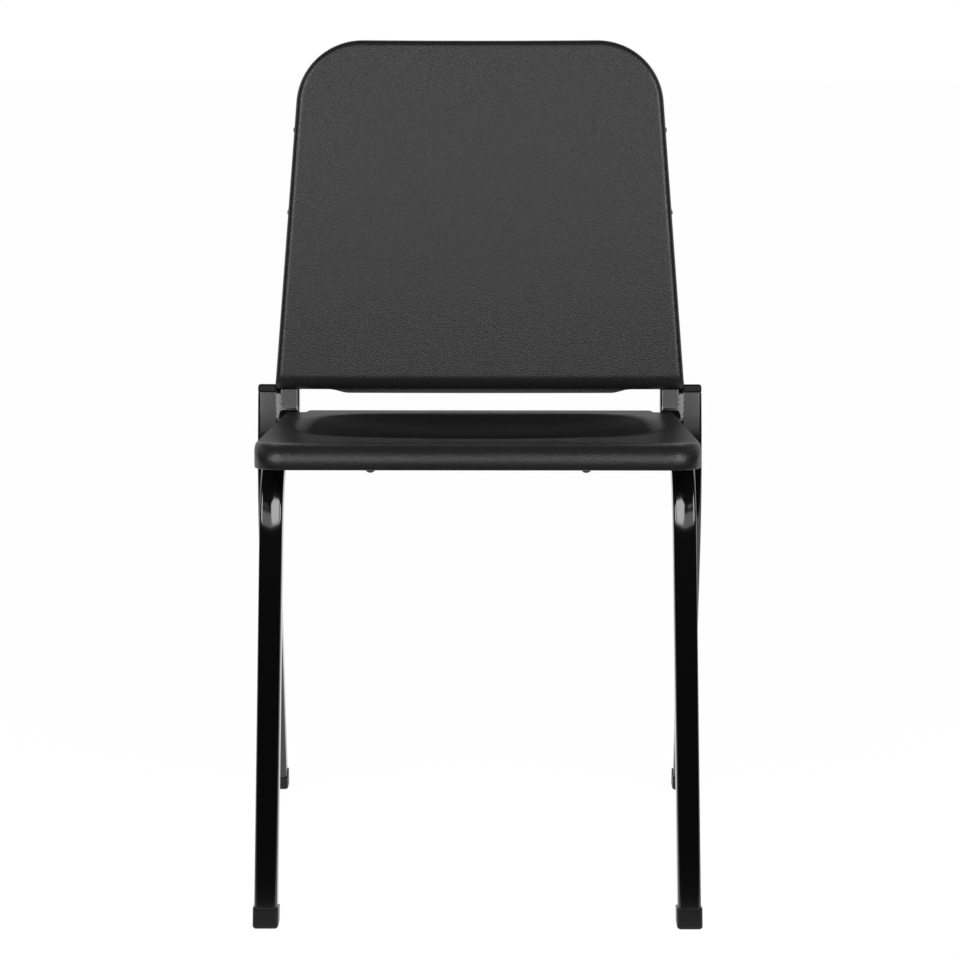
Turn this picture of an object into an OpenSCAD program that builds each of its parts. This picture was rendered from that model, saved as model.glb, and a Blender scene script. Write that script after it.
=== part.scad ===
// Stacking chair for a choir: two bent square tubes, two rear legs, moulded seat and back.
// X is to the right of someone facing the chair, Y runs from the front to the back, Z is up.

/* [Tubes] */
// Width across the flats of the square tube
tube_w = 22.2; // [20:0.1:24]
// Width across the flats of the two cross tubes
cross_w = 19; // [17:0.1:20]
// Wall of the tube
tube_wall = 1.5; // [1:0.1:2]
// Radius on the tube's outer corners
tube_corner_r = 3.2; // [2.5:0.1:5]
// Centreline radius of the bend from front leg to seat rail
front_bend_r = 76; // [60:1:90]
// Centreline radius of the bend from seat rail to back upright
rear_bend_r = 33; // [30:0.5:38]
// Centreline radius of the gentle knee in the rear leg
knee_bend_r = 260; // [180:5:300]

/* [Stance] */
// Front feet in front of the origin, at the floor
front_foot_y = 247.2; // [240:0.2:255]
// Half the distance between the front feet's centres
front_foot_x = 204.2; // [196:0.1:210]
// Half the distance between the side tubes' centres at the front bend
front_bend_x = 197.4; // [190:0.1:203]
// Half the distance between the side tubes' centres at the back uprights
upright_x = 205.2; // [200:0.1:210]
// Forward slant of the front legs, going down, in degrees
front_leg_slant = 7.6; // [4:0.1:10]
// Backward slant of the rear legs below the knee, in degrees
rear_leg_slant = 16.8; // [12:0.1:20]
// Depth of the rear leg's knee below the rail's rear corner
knee_drop = 65.9; // [60:0.1:90]
// How far the rear feet spread outward from the leg tops
rear_spread = 2.2; // [0:0.1:8]
// Height of the rear leg's top above the rail's rear corner
rear_leg_rise = 37.8; // [34:0.2:41]

/* [Seat] */
// Height of the seat's front edge
seat_h = 469; // [440:1:500]
// Width of the seat at its front
seat_front_w = 425; // [418:1:427]
// Width of the seat at its rear corners
seat_rear_w = 416; // [404:1:418]
// Distance of the seat's front edge in front of the origin
seat_front_y = 239.6; // [237:0.1:243]
// Length of the seat from its front edge to its rear corners
seat_l = 375.3; // [370:0.1:385]
// Fall of the seat towards the back, in degrees
seat_slope = 3.4; // [2:0.1:4.5]
// Thickness of the seat shell
seat_wall = 4.5; // [3.5:0.1:5]
// Height of the turned down front lip
seat_lip_h = 24.5; // [18:0.5:30]
// Depth of the seat's dish
dish_depth = 18; // [10:1:19]
// Plan radius of the seat's front corners
seat_corner_r = 28; // [20:1:34]
// Depth of the seat's side edges, which rest on the rails
seat_edge_d = 8.5; // [7:0.5:10]
// Depth of the seat's rolled rear edge
seat_rear_d = 12; // [9:0.5:14]
// Length of the tongue that reaches back between the uprights
tongue_l = 24; // [18:1:25]

/* [Back] */
// Width of the back shell at its lower edge
back_bottom_w = 439.6; // [439.2:0.1:441]
// Height of the back shell, measured along its face
back_h = 380; // [350:1:384]
// Recline of the back, in degrees
recline = 11.5; // [9:0.5:13]
// Narrowing of the back towards its top, per side, in degrees
back_taper = 4; // [3.9:0.01:4.1]
// Radius of the back's top corners
back_corner_r = 72; // [50:1:80]
// Hollow of the back's face from its sides to its middle
back_hollow = 8; // [4:1:10]
// Thickness of the back's face
back_wall = 4; // [3:0.1:5]
// Thickness of the back's side walls
back_side_wall = 2.4; // [2:0.1:2.6]
// Depth of the side walls that cover the uprights
back_side_d = 37; // [32:1:42]
// Radius of the rolled lower edge
back_roll_r = 17; // [12:1:18]
// Length of the lip below the rolled edge, across the middle
back_lip_l = 7.5; // [4:0.5:12]
// Height of the back's lower edge above the seat's front edge
back_rise = 0.5; // [-3:0.5:5]
// How far the back's face stands in front of the uprights
back_stand = 12.8; // [12.6:0.1:14]

/* [Fittings] */
// Wall of the rubber foot caps
cap_wall = 1.3; // [1:0.1:2.5]
// Rubber under the end of each leg
cap_floor = 4; // [3:0.5:6]
// Height of the foot caps
cap_h = 20; // [16:1:30]
// Height of the plug's head on each rear leg
plug_h = 9.5; // [6:0.5:12]
// Half the distance between the seat screws
seat_screw_x = 106.5; // [80:0.5:130]
// Thread diameter of the seat screws
seat_screw_d = 6; // [5:0.5:8]
// Thread diameter of the back screws
back_screw_d = 5; // [4:0.5:6]
// Heights of the two back screws above the seat rail, as shares of the upright
back_screw_shares = [0.665, 0.92];

/* [Hidden] */

// Clearance between pieces that seat on each other
fit = 0.25;
// Overrun that carries a cut past a surface
over = 1;
// A straight run is drawn this much slimmer than the bend it enters, so that the two fuse
seam = 0.01;
// How far a straight run enters a bend
seam_l = 0.3;

// Vectors
function unit(v) = v / norm(v);
function turned(v, n, a) = v*cos(a) + cross(n, v)*sin(a) + n*(n*v)*(1 - cos(a));
function mix(a, b, t) = a + (b - a)*t;
function clamp01(t) = min(1, max(0, t));
function ease(t) = let (c = clamp01(t)) c*c*(3 - 2*c);

// A tube follows straight runs between corner points, each corner rounded to its own radius
function heading(p, i) = unit(p[i + 1] - p[i]);
function bend_axis(p, i) = unit(cross(heading(p, i - 1), heading(p, i)));
function bend_angle(p, i) = acos(heading(p, i - 1) * heading(p, i));
function bend_cut(p, r, i) = i == 0 || i == len(p) - 1 ? 0 : r[i]*tan(bend_angle(p, i)/2);
function first_side(p) = let (d = heading(p, 0), x = [1, 0, 0]) unit(x - d*(x*d));
function side_of(p, i) = i == 0 ? first_side(p) : turned(side_of(p, i - 1), bend_axis(p, i), bend_angle(p, i));
function last_i(p) = len(p) - 2;

// Seat plane: its fall, and the height of a line that lies a depth below it
slope_t = tan(seat_slope);
function seat_plane(y, down = 0) = seat_h - (y + seat_front_y)*slope_t - down/cos(seat_slope);
rail_down = seat_edge_d + fit + tube_w/2;

// Corner points of a side tube's centreline, right side
slant_t = tan(front_leg_slant);
front_bend_z = (seat_plane(-front_foot_y, rail_down)) / (1 + slant_t*slope_t);
front_bend_y = front_bend_z*slant_t - front_foot_y;
seat_rear_y = seat_l - seat_front_y;
corner_behind_seat = 16;
rear_corner_y = seat_rear_y + corner_behind_seat;
rear_corner_z = seat_plane(rear_corner_y, rail_down);
recline_t = tan(recline);
taper_t = tan(back_taper)/cos(recline);
lean_start = 49;
upright_l = 344;
function foot_lift(slant) = cap_floor/cos(slant) + tube_w/2*tan(slant);
function along(a, b, l) = a + unit(b - a)*l;
front_foot = [front_foot_x, -front_foot_y, 0];
front_corner = [front_bend_x, front_bend_y, front_bend_z];
rear_corner = [upright_x, rear_corner_y, rear_corner_z];
lean_corner = rear_corner + [0, lean_start*recline_t, lean_start];
upright_top = lean_corner + [-taper_t, recline_t, 1]*(upright_l - lean_start);
side_path = [
  along(front_foot, front_corner, foot_lift(front_leg_slant)),
  front_corner, rear_corner, lean_corner, upright_top
];
lean_bend_r = 110;
side_radii = [0, front_bend_r, rear_bend_r, lean_bend_r, 0];

// Corner points of a rear leg's centreline, right side
leg_gap = 0.12;
leg_x = upright_x + tube_w + leg_gap;
leg_top = [leg_x, rear_corner_y + rear_leg_rise*recline_t, rear_corner_z + rear_leg_rise];
knee_spread_share = 0.2;
leg_knee = [
  leg_x + rear_spread*knee_spread_share, rear_corner_y - knee_drop*recline_t, rear_corner_z - knee_drop
];
rear_foot = [leg_x + rear_spread, leg_knee.y + leg_knee.z*tan(rear_leg_slant), 0];
leg_path = [along(rear_foot, leg_knee, foot_lift(rear_leg_slant)), leg_knee, leg_top];
leg_radii = [0, knee_bend_r, 0];

// Cross tubes: where they stand, and how low they hang to clear the dish
front_cross_in = 124.7;
rear_cross_in = 38.6;
front_cross_y = front_cross_in - seat_front_y;
rear_cross_y = seat_rear_y - rear_cross_in;
front_cross_drop = 7.5;
rear_cross_drop = 7.5;
front_cross_z = seat_plane(front_cross_y, rail_down) - front_cross_drop;
rear_cross_z = seat_plane(rear_cross_y, rail_down) - rear_cross_drop;
function rail_x(y) = mix(front_bend_x, upright_x, (y - front_bend_y)/(rear_corner_y - front_bend_y));

// Screws: their heads and their holes
head_d_share = 1.65;
head_h_share = 0.45;
screw_fit = 0.2;
seat_screw_bite = 3;
back_screw_l = 9;

// Seat shell: its outline, seen from above, and its edge
edge_r = 4;
front_edge_r = 21;
front_edge_share = 0.6;
lip_wall = 3.2;
lip_fade_l = 26;
seat_front_hw = seat_front_w/2;
seat_rear_hw = seat_rear_w/2;
seat_rear_r = 8;
tongue_gap = 7;
tongue_hw = upright_x - tube_w/2 - tongue_gap;
tongue_root_r = 3;
tongue_r = 8;
dish_side_margin = 24;
dish_rear_margin = 2;
dish_front_margin = 62;
// How squarely the dish ends at its sides, rear and front, and how steeply its wall falls
dish_side_power = 2.8;
dish_rear_power = 4;
dish_front_power = 2.2;
dish_wall_power = 1.25;
dish_hw = seat_front_hw - dish_side_margin;
dish_hl = (seat_l - dish_front_margin - dish_rear_margin)/2;
dish_y = seat_rear_y - dish_rear_margin - dish_hl;
seat_centre = [0, dish_y];

function arc(c, r, a, b, n) = [for (i = [0 : n]) c + r*[cos(mix(a, b, i/n)), sin(mix(a, b, i/n))]];
function between(a, b, n) = [for (i = [1 : n - 1]) mix(a, b, i/n)];
// A closed outline from its right half, which runs from the middle to the middle
function both_sides(h) = concat(h, [for (i = [len(h) - 2 : -1 : 1]) [-h[i].x, h[i].y]]);

// Outline of the seat, drawn in by an inset
function seat_outline(e) = let (
  f = [seat_front_hw - seat_corner_r, seat_corner_r - seat_front_y],
  k = [seat_rear_hw - seat_rear_r, seat_rear_y - seat_rear_r],
  n = [tongue_hw + tongue_root_r, seat_rear_y + tongue_root_r],
  t = [tongue_hw - tongue_r, seat_rear_y + tongue_l - tongue_r],
  front = [0, e - seat_front_y],
  rear = [0, seat_rear_y + tongue_l - e]
) both_sides(concat(
  [front], between(front, [f.x, front.y], 5),
  arc(f, seat_corner_r - e, -90, 0, 6), between([seat_front_hw - e, f.y], [seat_rear_hw - e, k.y], 9),
  arc(k, seat_rear_r - e, 0, 90, 3), arc(n, tongue_root_r + e, 270, 180, 3), arc(t, tongue_r - e, 0, 90, 3),
  between([t.x, rear.y], rear, 6), [rear]
));

// Depth of the dish below the seat plane
function dish(x, y) = let (
  end_power = y > dish_y ? dish_rear_power : dish_front_power,
  q = pow(abs(x)/dish_hw, dish_side_power) + pow(abs(y - dish_y)/dish_hl, end_power)
) dish_depth*pow(max(0, 1 - q), dish_wall_power);
function seat_top(p, down = 0) = [p.x, p.y, seat_plane(p.y, down) - dish(p.x, p.y)];
// The tube's bend rises under the rear corners, so the edge there is shallower
rear_bend_start = rear_corner_y - rear_bend_r*tan((90 - recline + seat_slope)/2) + tube_w/2*sin(seat_slope);
function corner_rise(y) = let (
  r = rear_bend_r - tube_w/2,
  d = max(0, y - rear_bend_start)
) r - sqrt(max(0, r*r - d*d));
// Depth of the turned down edge at a point of the outline
function edge_depth(p) = p.y > seat_rear_y + tongue_root_r
  ? mix(seat_wall, seat_rear_d, ease((p.y - seat_rear_y - tongue_root_r)/tongue_r))
  : p.y > 0
    ? max(seat_wall, seat_edge_d - corner_rise(p.y))
    : mix(seat_lip_h, seat_edge_d, ease((p.y + seat_front_y - seat_corner_r)/lip_fade_l));
function lowered(p, down) = [p.x, p.y, seat_plane(p.y) - down];

seat_shares = [0.1, 0.22, 0.34, 0.45, 0.56, 0.66, 0.75, 0.83, 0.9, 0.96];
seat_under_shares = [0.92, 0.78, 0.62, 0.45, 0.28, 0.12];
// The edge is rounded over, with a larger radius along the front
front_edge_l = seat_corner_r*front_edge_share;
function edge_radius(p) = mix(edge_r, front_edge_r, ease((front_edge_l - seat_front_y - p.y)/front_edge_l));
// The outline with each point drawn in by its own inset, a function of its place
function drawn_in(insets) = let (o = seat_outline(0), q = seat_outline(1))
  [for (i = [0 : len(o) - 1]) o[i] + insets[i]*(q[i] - o[i])];
edge_radii = [for (p = seat_outline(0)) edge_radius(p)];
seat_rim = drawn_in(edge_radii);
function seat_ring(share, down) = [for (p = seat_rim) seat_top(mix(seat_centre, p, share), down)];
// A ring round the edge at an angle, at a depth under the outside, which is less in the lip than in the top
function rolled_ring(a, lip_t, top_t) = let (ring = drawn_in([for (r = edge_radii) r - (r - lip_t)*sin(a)]))
  [for (i = [0 : len(ring) - 1]) lowered(ring[i], edge_radii[i] - (edge_radii[i] - top_t)*cos(a))];
function hem_ring(e) = let (o = seat_outline(0), q = seat_outline(e))
  [for (i = [0 : len(o) - 1]) lowered(q[i], edge_depth(o[i]))];
seat_rings = concat(
  [for (s = seat_shares) seat_ring(s, 0)],
  [for (a = [0 : 18 : 90]) rolled_ring(a, 0, 0)],
  [hem_ring(0), hem_ring(lip_wall)],
  [for (a = [90 : -30 : 0]) rolled_ring(a, lip_wall, seat_wall)],
  [for (s = seat_under_shares) seat_ring(s, seat_wall)]
);

// Back shell: axes along its width, up its face and into its depth
back_v = [0, sin(recline), cos(recline)];
back_w = [0, cos(recline), -sin(recline)];
back_z = seat_h + back_rise;
upright_y_at_back = rear_corner_y + (back_z - rear_corner_z)*recline_t;
back_origin = [0, upright_y_at_back - (tube_w/2 + back_stand)/cos(recline), back_z];
back_hw = back_bottom_w/2;
back_edge_r = 8;
back_foot_r = 4;
roll_angle = 60;
lip_full_x = 141;
lip_end_x = 163;
back_bottom_x = 188;
notch_v = 7;
notch_fade_l = 2;
function on_back(u, v, w) = back_origin + [u, 0, 0] + v*back_v + (w + hollow(u))*back_w;
function hollow(u) = back_hollow*max(0, 1 - pow(u/back_hw, 2));

// Half the width of the back at a height, drawn in by an inset
function back_side_x(v, e) = back_hw - e/cos(back_taper) - v*tan(back_taper);
// Outline of the back, with its sides and top drawn in by an inset and its foot raised
function back_outline(e, foot) = let (
  r = back_corner_r - e,
  b = [back_side_x(foot + back_foot_r, e + back_foot_r), foot + back_foot_r],
  t = [back_side_x(back_h - back_corner_r, e + r), back_h - back_corner_r],
  low = [for (v = [foot + notch_v, foot + notch_v + notch_fade_l]) [back_side_x(v, e), v]],
  stop = arc(t, r, back_taper, 90, 8)
) both_sides(concat(
  [[0, foot]], between([0, foot], [lip_full_x, foot], 5),
  [[lip_full_x, foot]], between([lip_full_x, foot], [lip_end_x, foot], 4),
  [[lip_end_x, foot], [back_bottom_x, foot]],
  arc(b, back_foot_r, -90, back_taper, 3), low, between(low[1], stop[0], 8), stop,
  between(stop[8], [0, back_h - e], 5), [[0, back_h - e]]
));
// How much a point of the outline belongs to the foot of the back: 1 along it, 0 at the sides and top
foot_shares = concat([for (i = [0 : 12]) 1], [0.66, 0.33, 0]);
// The hem stays shallow up the sides as far as the notch over the leg plugs
hem_shares = [for (i = [0 : 16]) 1];
function share_at(shares, i, n) = let (k = min(i, n - i)) k < len(shares) ? shares[k] : 0;
function lip_here(u) = back_lip_l*ease((lip_end_x - abs(u))/(lip_end_x - lip_full_x));

// A ring of the back, from its place and depth at the sides and at the foot
function back_ring(side_e, side_w, foot_v, foot_w, shares, lip = 0) = let (
  o = back_outline(side_e, foot_v),
  n = len(o)
) [
  for (i = [0 : n - 1]) let (s = share_at(shares, i, n), l = lip*lip_here(o[i].x)*s)
    on_back(o[i].x, o[i].y - l*cos(roll_angle), mix(side_w, foot_w, s) + l*sin(roll_angle))
];
// Inset of the sides at a depth under the face
function side_in(t) = t*back_side_wall/back_wall;
function roll_ring(a, t) = back_ring(
  mix(back_edge_r, side_in(t), sin(a)),
  mix(back_edge_r, t, cos(a)),
  back_roll_r - (back_roll_r - t)*sin(a*roll_angle/90),
  back_roll_r - (back_roll_r - t)*cos(a*roll_angle/90),
  foot_shares
);
function back_hem(t) = back_ring(
  side_in(t),
  back_side_d,
  back_roll_r - (back_roll_r - t)*sin(roll_angle),
  back_roll_r - (back_roll_r - t)*cos(roll_angle),
  hem_shares,
  1
);
back_shares = [0.18, 0.36, 0.54, 0.7, 0.84, 0.94];
back_centre = [0, back_h/2];
function back_face(share, t) = [
  for (p = back_outline(back_edge_r, back_roll_r)) let (m = mix(back_centre, p, share)) on_back(m.x, m.y, t)
];
back_rings = concat(
  [for (s = back_shares) back_face(s, 0)],
  [for (a = [0 : 18 : 90]) roll_ring(a, 0)],
  [back_hem(0), back_hem(back_wall)],
  [for (a = [90 : -30 : 0]) roll_ring(a, back_wall)],
  [for (i = [len(back_shares) - 1 : -1 : 0]) back_face(back_shares[i], back_wall)]
);

// A closed shell through rings of points, capped at each end by a middle point
module ring_shell(rings, first, last, flip = false) {
  n = len(rings[0]);
  m = len(rings);
  points = concat([first], [for (r = rings) each r], [last]);
  function at(k, i) = 1 + k*n + (i % n);
  faces = concat(
    [for (i = [0 : n - 1]) [0, at(0, i + 1), at(0, i)]],
    [for (k = [0 : m - 2], i = [0 : n - 1]) each [
      [at(k, i), at(k, i + 1), at(k + 1, i)],
      [at(k, i + 1), at(k + 1, i + 1), at(k + 1, i)]
    ]],
    [for (i = [0 : n - 1]) [len(points) - 1, at(m - 1, i), at(m - 1, i + 1)]]
  );
  polyhedron(points, flip ? [for (f = faces) [f[2], f[1], f[0]]] : faces, convexity = 8);
}

module rounded_square(w, r) {
  square([w - 2*r, w], center = true);
  square([w, w - 2*r], center = true);
  for (x = [-1, 1], y = [-1, 1]) translate([x*(w/2 - r), y*(w/2 - r)]) circle(r, $fn = 32);
}

module tube_section(trim = 0, solid = false, w = tube_w) {
  difference() {
    rounded_square(w - 2*trim, tube_corner_r - trim);
    if (!solid) rounded_square(w - 2*tube_wall + 2*trim, tube_corner_r - tube_wall + trim);
  }
}

module placed(x, y, z, o) {
  multmatrix([[x.x, y.x, z.x, o.x], [x.y, y.y, z.y, o.y], [x.z, y.z, z.z, o.z], [0, 0, 0, 1]]) children();
}

// The straight run from corner point i to the next
module straight(p, r, i) {
  d = heading(p, i);
  s = side_of(p, i);
  start = bend_cut(p, r, i) - (i > 0 ? seam_l : 0);
  stop = norm(p[i + 1] - p[i]) - bend_cut(p, r, i + 1) + (i < last_i(p) ? seam_l : 0);
  placed(s, cross(d, s), d, p[i] + d*start) linear_extrude(stop - start) tube_section(seam);
}

// The bend at corner point i
module bend(p, r, i, solid = false) {
  d = heading(p, i - 1);
  n = bend_axis(p, i);
  s = side_of(p, i - 1);
  out = cross(d, n);
  centre = p[i] - d*bend_cut(p, r, i) - out*r[i];
  placed(out, d, n, centre) rotate_extrude(angle = bend_angle(p, i), $fn = 96) translate([r[i], 0]) {
    rotate(atan2(s*n, s*out)) tube_section(0, solid);
  }
}

module bent_tube(p, r) {
  for (i = [0 : last_i(p)]) straight(p, r, i);
  for (i = [1 : last_i(p)]) bend(p, r, i);
}

// The last run of a side tube, and the back screws along it
upright_dir = heading(side_path, 3);
upright_side = side_of(side_path, 3);
upright_front = cross(upright_dir, upright_side);
back_side_n = [cos(back_taper), 0, 0] + sin(back_taper)*back_v;
function upright_at(share) = let (h = share*upright_l) lean_corner + upright_dir*(h - lean_start)/upright_dir.z;
function side_wall_gap(c) = (back_origin + [back_hw, 0, 0] - c)*back_side_n/(upright_side*back_side_n);

module back_screw_places() {
  for (share = back_screw_shares) {
    c = upright_at(share);
    placed(upright_front, upright_dir, upright_side, c + upright_side*side_wall_gap(c)) children();
  }
}

module mirrored_x() {
  for (m = [0, 1]) mirror([m, 0, 0]) children();
}

// A domed head with its shank below it, standing on the plane z = 0
module screw(d, l) {
  head_r = d*head_d_share/2;
  head_h = d*head_h_share;
  dome_r = (head_r*head_r + head_h*head_h)/(2*head_h);
  translate([0, 0, -l]) cylinder(d = d, h = l, $fn = 32);
  intersection() {
    cylinder(r = head_r, h = head_h, $fn = 48);
    translate([0, 0, head_h - dome_r]) sphere(dome_r, $fn = 96);
  }
}

module seat_screw_places(y) {
  for (x = [-seat_screw_x, seat_screw_x]) translate([x, y, 0]) children();
}

// Height of the seat's underside above a screw, and of its top
function seat_under_z(y) = seat_top([seat_screw_x, y], 0).z - seat_wall/cos(seat_slope);
seat_screw_hole_d = seat_screw_d + 2*screw_fit;
boss_d = 18;

// Bosses under the seat stand on the cross tubes and take the screws
module seat_bosses(y, z) {
  low = z + cross_w/2/cos(seat_slope) + boss_d/2*slope_t + fit;
  seat_screw_places(y) translate([0, 0, low]) {
    cylinder(d = boss_d, h = seat_under_z(y) + seat_wall/2 - low, $fn = 48);
  }
}

module seat_screw_holes(y, z) {
  seat_screw_places(y) translate([0, 0, z]) {
    cylinder(d = seat_screw_hole_d, h = seat_under_z(y) + seat_screw_bite - z, $fn = 32);
  }
}

module seat_shell() {
  color("#2e2e30") difference() {
    union() {
      ring_shell(seat_rings, seat_top(seat_centre), seat_top(seat_centre, seat_wall));
      seat_bosses(front_cross_y, front_cross_z);
      seat_bosses(rear_cross_y, rear_cross_z);
    }
    seat_screw_holes(front_cross_y, front_cross_z);
    seat_screw_holes(rear_cross_y, rear_cross_z);
  }
}

module back_shell() {
  color("#2e2e30") difference() {
    ring_shell(back_rings, on_back(0, back_centre.y, 0), on_back(0, back_centre.y, back_wall));
    mirrored_x() back_screw_places() translate([0, 0, -back_screw_l]) {
      cylinder(d = back_screw_d + 2*screw_fit, h = back_screw_l + over, $fn = 32);
    }
  }
}

module side_tube() {
  difference() {
    bent_tube(side_path, side_radii);
    back_screw_places() translate([0, 0, -tube_w/2]) {
      cylinder(d = back_screw_d + 2*screw_fit, h = tube_w/2 + over, $fn = 32);
    }
  }
}
module right_side_tube() { color("#111113") side_tube(); }
module left_side_tube() { color("#111113") mirror([1, 0, 0]) side_tube(); }

module right_rear_leg() { color("#111113") bent_tube(leg_path, leg_radii); }
module left_rear_leg() { color("#111113") mirror([1, 0, 0]) bent_tube(leg_path, leg_radii); }

// A cross tube between the rails, drilled for the seat screws
module cross_tube(y, z) {
  half_l = rail_x(y) - tube_w/2 - fit;
  difference() {
    translate([-half_l, y, z]) rotate([90, 0, 90]) rotate(-seat_slope) {
      linear_extrude(2*half_l) tube_section(w = cross_w);
    }
    seat_screw_places(y) translate([0, 0, z - cross_w]) {
      cylinder(d = seat_screw_hole_d, h = 2*cross_w, $fn = 32);
    }
  }
}
module front_cross_tube() { color("#111113") cross_tube(front_cross_y, front_cross_z); }
module rear_cross_tube() { color("#111113") cross_tube(rear_cross_y, rear_cross_z); }

// A bead in the groove where a rear leg lies along the side tube
weld_r = 4;
weld_out_share = 0.25;
weld_gap = 0.05;
leg_weld_low = 8;
module leg_weld() {
  d = unit([0, recline_t, 1]);
  x = [1, 0, 0];
  foot = [leg_x - (tube_w + leg_gap)/2, rear_corner_y + leg_weld_low*recline_t, rear_corner_z + leg_weld_low];
  difference() {
    placed(x, cross(d, x), d, foot - cross(d, x)*tube_w/2) {
      linear_extrude((rear_leg_rise - leg_weld_low)/d.z - weld_r) difference() {
        translate([0, weld_r*weld_out_share]) circle(weld_r, $fn = 32);
        for (side = [-1, 1]) translate([side*(tube_w + leg_gap)/2, tube_w/2]) {
          rounded_square(tube_w + 2*weld_gap, tube_corner_r + weld_gap);
        }
      }
    }
    bend(side_path, side_radii, 2, solid = true);
  }
}
module right_leg_weld() { color("#5c5c5e") leg_weld(); }
module left_leg_weld() { color("#5c5c5e") mirror([1, 0, 0]) leg_weld(); }

// Fillet beads where the cross tubes meet the rails, before and behind each end
bead_r = 3;
module cross_welds(y, z, drop) {
  low = max(z - cross_w/2, z + drop - tube_w/2) + tube_corner_r;
  l = min(z + cross_w/2, z + drop + tube_w/2) - tube_corner_r - low;
  for (side = [-1, 1]) {
    face_y = y + side*(cross_w/2 + fit + cross_w/2*slope_t);
    mirrored_x() translate([rail_x(face_y) - tube_w/2 - fit, face_y, low]) intersection() {
      cylinder(r = bead_r, h = l, $fn = 32);
      translate([-bead_r, side > 0 ? 0 : -bead_r, 0]) cube([bead_r, bead_r, l]);
    }
  }
}
module cross_tube_welds() {
  color("#1b1b1d") {
    cross_welds(front_cross_y, front_cross_z, front_cross_drop);
    cross_welds(rear_cross_y, rear_cross_z, rear_cross_drop);
  }
}

// A rubber boot on the end of a leg, flat where it meets the floor
cap_fit = 0.1;
cap_corner_r = 4;
module foot_cap(path, foot, slant) {
  d = heading(path, 0);
  s = first_side(path);
  difference() {
    placed(s, cross(d, s), d, foot) difference() {
      translate([0, 0, -tube_w]) linear_extrude(tube_w + cap_h) {
        rounded_square(tube_w + 2*cap_wall, cap_corner_r);
      }
      translate([0, 0, foot_lift(slant) - cap_fit]) linear_extrude(cap_h) {
        rounded_square(tube_w + 2*cap_fit, tube_corner_r + cap_fit);
      }
    }
    translate([foot.x - 2*tube_w, foot.y - 2*tube_w, -4*tube_w]) cube(4*tube_w);
  }
}
module front_foot_cap() { foot_cap(side_path, front_foot, front_leg_slant); }
module rear_foot_cap() { foot_cap(leg_path, rear_foot, rear_leg_slant); }
module front_right_foot_cap() { color("#232323") front_foot_cap(); }
module front_left_foot_cap() { color("#232323") mirror([1, 0, 0]) front_foot_cap(); }
module rear_right_foot_cap() { color("#232323") rear_foot_cap(); }
module rear_left_foot_cap() { color("#232323") mirror([1, 0, 0]) rear_foot_cap(); }

// A plug in the open top of a rear leg: a head as wide as the tube and a spigot inside it
plug_l = 14;
module leg_plug() {
  d = -heading(leg_path, 1);
  s = -side_of(leg_path, 1);
  placed(s, cross(-d, s), -d, leg_top) {
    translate([0, 0, cap_fit]) linear_extrude(plug_h) rounded_square(tube_w, tube_corner_r);
    translate([0, 0, -plug_l]) linear_extrude(plug_l + over) {
      rounded_square(tube_w - 2*tube_wall - 2*cap_fit, tube_corner_r - tube_wall - cap_fit);
    }
  }
}
module right_leg_plug() { color("#1c1c1c") leg_plug(); }
module left_leg_plug() { color("#1c1c1c") mirror([1, 0, 0]) leg_plug(); }

// Seat screws come up from under the cross tubes, heads down
module seat_screws(y, z) {
  low = z - cross_w/2/cos(seat_slope) - seat_screw_d*head_d_share/2*slope_t - weld_gap;
  seat_screw_places(y) translate([0, 0, low]) mirror([0, 0, 1]) {
    screw(seat_screw_d, seat_under_z(y) + seat_screw_bite - screw_fit - low);
  }
}
module front_seat_screws() { color("#3a3a3c") seat_screws(front_cross_y, front_cross_z); }
module rear_seat_screws() { color("#3a3a3c") seat_screws(rear_cross_y, rear_cross_z); }

module back_screws() { back_screw_places() translate([0, 0, weld_gap]) screw(back_screw_d, back_screw_l); }
module right_back_screws() { color("#3a3a3c") back_screws(); }
module left_back_screws() { color("#3a3a3c") mirror([1, 0, 0]) back_screws(); }

seat_shell();
back_shell();
left_side_tube();
right_side_tube();
left_rear_leg();
right_rear_leg();
front_cross_tube();
rear_cross_tube();
left_leg_weld();
right_leg_weld();
cross_tube_welds();
front_left_foot_cap();
front_right_foot_cap();
rear_left_foot_cap();
rear_right_foot_cap();
left_leg_plug();
right_leg_plug();
front_seat_screws();
rear_seat_screws();
left_back_screws();
right_back_screws();
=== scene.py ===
import math

import bpy
import numpy as np
from mathutils import Matrix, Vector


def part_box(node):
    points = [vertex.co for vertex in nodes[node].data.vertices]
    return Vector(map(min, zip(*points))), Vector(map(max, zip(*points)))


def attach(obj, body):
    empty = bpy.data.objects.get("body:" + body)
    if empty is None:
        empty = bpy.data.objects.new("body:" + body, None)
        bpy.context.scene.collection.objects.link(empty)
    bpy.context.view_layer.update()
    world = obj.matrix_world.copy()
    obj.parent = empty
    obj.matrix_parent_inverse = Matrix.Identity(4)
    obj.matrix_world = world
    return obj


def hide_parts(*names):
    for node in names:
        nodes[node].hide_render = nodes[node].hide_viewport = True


# A choir chair: seat and back moulded in grained plastic, on a frame of bent square tube.
# Metres throughout. X to the right of someone facing the chair, Y to its back, Z up.

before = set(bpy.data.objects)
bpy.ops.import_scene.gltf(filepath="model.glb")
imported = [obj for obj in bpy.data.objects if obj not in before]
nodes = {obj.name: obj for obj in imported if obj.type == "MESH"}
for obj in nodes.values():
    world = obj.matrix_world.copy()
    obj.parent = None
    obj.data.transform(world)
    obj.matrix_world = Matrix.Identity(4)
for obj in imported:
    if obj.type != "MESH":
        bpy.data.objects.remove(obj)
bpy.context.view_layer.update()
print("frame loaded:", len(nodes), "nodes")


# Small tools for arrays of points

def unit(v):
    return v / np.linalg.norm(v, axis=-1, keepdims=True)


def eased(t):
    # 0 to 1 with no slope at either end
    t = np.clip(t, 0, 1)
    return t * t * (3 - 2 * t)


def mix(a, b, t):
    return a + (b - a) * t


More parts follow.
